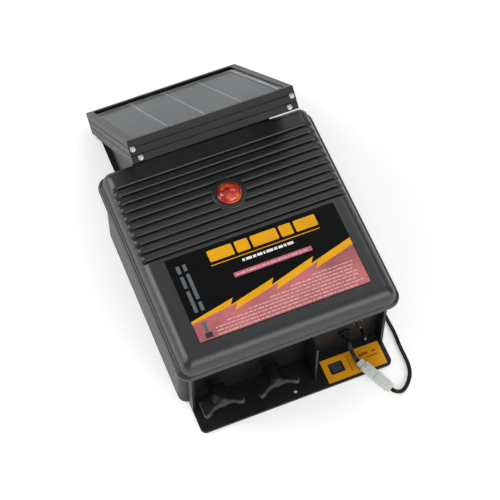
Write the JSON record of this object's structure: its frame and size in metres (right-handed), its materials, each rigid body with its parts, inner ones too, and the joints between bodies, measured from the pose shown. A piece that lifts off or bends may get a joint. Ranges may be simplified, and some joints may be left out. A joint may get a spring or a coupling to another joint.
{
  "type": "fence_energizer",
  "caption": "Solar electric-fence energizer: black weatherproof case, wing-knob terminals, toggle switch, plug-in lead and a tilted solar panel on its bracket",
  "frame": {"origin": "bottom centre of the box round the unit without its leads, on the surface that its back lies on", "axes": "+X to the right seen from the front face, +Y from the terminals towards the solar panel, +Z out of the front face"},
  "size_m": [0.2127, 0.3797, 0.1706],
  "materials": {
    "case_plastic": "black moulded plastic, satin",
    "seal_rubber": "black rubber",
    "screw_steel": "zinc-plated steel",
    "label_film": "printed film label",
    "lens_red": "red moulded lens",
    "lamp_glass": "clear lamp bulb on its holder",
    "wire_red": "insulated wire",
    "wire_white": "insulated wire",
    "board_green": "printed circuit laminate",
    "capacitor_sleeve": "sleeved capacitor",
    "core_iron": "laminated steel",
    "winding_copper": "taped copper winding",
    "sink_aluminium": "extruded aluminium",
    "chip_plastic": "moulded component",
    "battery_case": "battery case",
    "contact_brass": "brass",
    "strap_plastic": "strap",
    "foam_pad": "closed-cell foam",
    "control_film": "orange film label",
    "lead_jacket": "black lead jacket",
    "nylon_white": "natural nylon",
    "bracket_paint": "black powder coat",
    "rail_paint": "black anodised rail",
    "panel_glass": "toughened glass",
    "cell_silicon": "silicon cells",
    "backsheet_white": "white backsheet",
    "box_plastic": "junction box",
    "knob_plastic": "black moulded knob"
  },
  "bodies": {
    "unit": {"rear_housing": "case_plastic", "front_cover": "case_plastic", "cover_gasket": "seal_rubber", "cover_screws": "screw_steel", "face_label": "label_film", "signal_lens": "lens_red", "signal_lamp": "lamp_glass", "lamp_wires": "wire_red", "circuit_board": "board_green", "board_screws": "screw_steel", "storage_capacitor": "capacitor_sleeve", "transformer_core": "core_iron", "transformer_winding": "winding_copper", "heat_sink": "sink_aluminium", "thyristor": "chip_plastic", "board_parts": "chip_plastic", "battery": "battery_case", "battery_tabs": "contact_brass", "battery_strap": "strap_plastic", "strap_screws": "screw_steel", "battery_foam": "foam_pad", "battery_wires": "wire_red", "output_wires": "wire_white", "switch_wires": "wire_white", "fence_stud": "contact_brass", "ground_stud": "contact_brass", "stud_nuts": "screw_steel", "stud_washers": "screw_steel", "ring_terminals": "contact_brass", "switch_body": "screw_steel", "switch_nut": "screw_steel", "control_label": "control_film", "lead_grommet": "seal_rubber", "supply_lead": "lead_jacket", "connector_socket": "nylon_white", "socket_contacts": "contact_brass", "solar_lead": "lead_jacket", "bracket_plate": "bracket_paint", "bracket_arm_left": "bracket_paint", "bracket_arm_right": "bracket_paint", "bracket_screws": "screw_steel", "panel_rail_front": "rail_paint", "panel_rail_rear": "rail_paint", "panel_rail_left": "rail_paint", "panel_rail_right": "rail_paint", "panel_glass": "panel_glass", "solar_cells": "cell_silicon", "panel_backsheet": "backsheet_white", "rail_screws": "screw_steel", "junction_box": "box_plastic", "arm_grommet": "seal_rubber"},
    "fence_clamp": {"fence_washer": "screw_steel"},
    "fence_wing": {"fence_knob": "knob_plastic", "fence_insert": "contact_brass"},
    "ground_clamp": {"ground_washer": "screw_steel"},
    "ground_wing": {"ground_knob": "knob_plastic", "ground_insert": "contact_brass"},
    "lever": {"switch_lever": "screw_steel"},
    "plug": {"connector_plug": "nylon_white", "plug_pins": "contact_brass"}
  },
  "joints": [
    {"name": "fence_clamp_slide", "type": "slide", "parent": "unit", "child": "fence_clamp", "axis": [0, -1, 0], "range_m": [0, 0.0051]},
    {"name": "fence_knob_turn", "type": "hinge", "parent": "fence_clamp", "child": "fence_wing", "pos_m": [-0.069, -0.15759, 0.029], "axis": [0, -1, 0], "range_deg": [0, 1800]},
    {"name": "ground_clamp_slide", "type": "slide", "parent": "unit", "child": "ground_clamp", "axis": [0, -1, 0], "range_m": [0, 0.0051]},
    {"name": "ground_knob_turn", "type": "hinge", "parent": "ground_clamp", "child": "ground_wing", "pos_m": [-0.017, -0.15759, 0.029], "axis": [0, -1, 0], "range_deg": [0, 1800]},
    {"name": "switch_lever_tilt", "type": "hinge", "parent": "unit", "child": "lever", "pos_m": [0.07, -0.14559, 0.041], "axis": [-1, 0, 0], "range_deg": [0, 20]},
    {"name": "plug_pull", "type": "slide", "parent": "unit", "child": "plug", "axis": [0.439, -0.8963, -0.0627], "range_m": [0, 0.0125], "deforming": ["solar_lead"]}
  ],
  "couplings": [
    {"joint": "fence_clamp_slide", "follows": "fence_knob_turn", "m_per_rad": 0.00015915},
    {"joint": "ground_clamp_slide", "follows": "ground_knob_turn", "m_per_rad": 0.00015915}
  ]
}
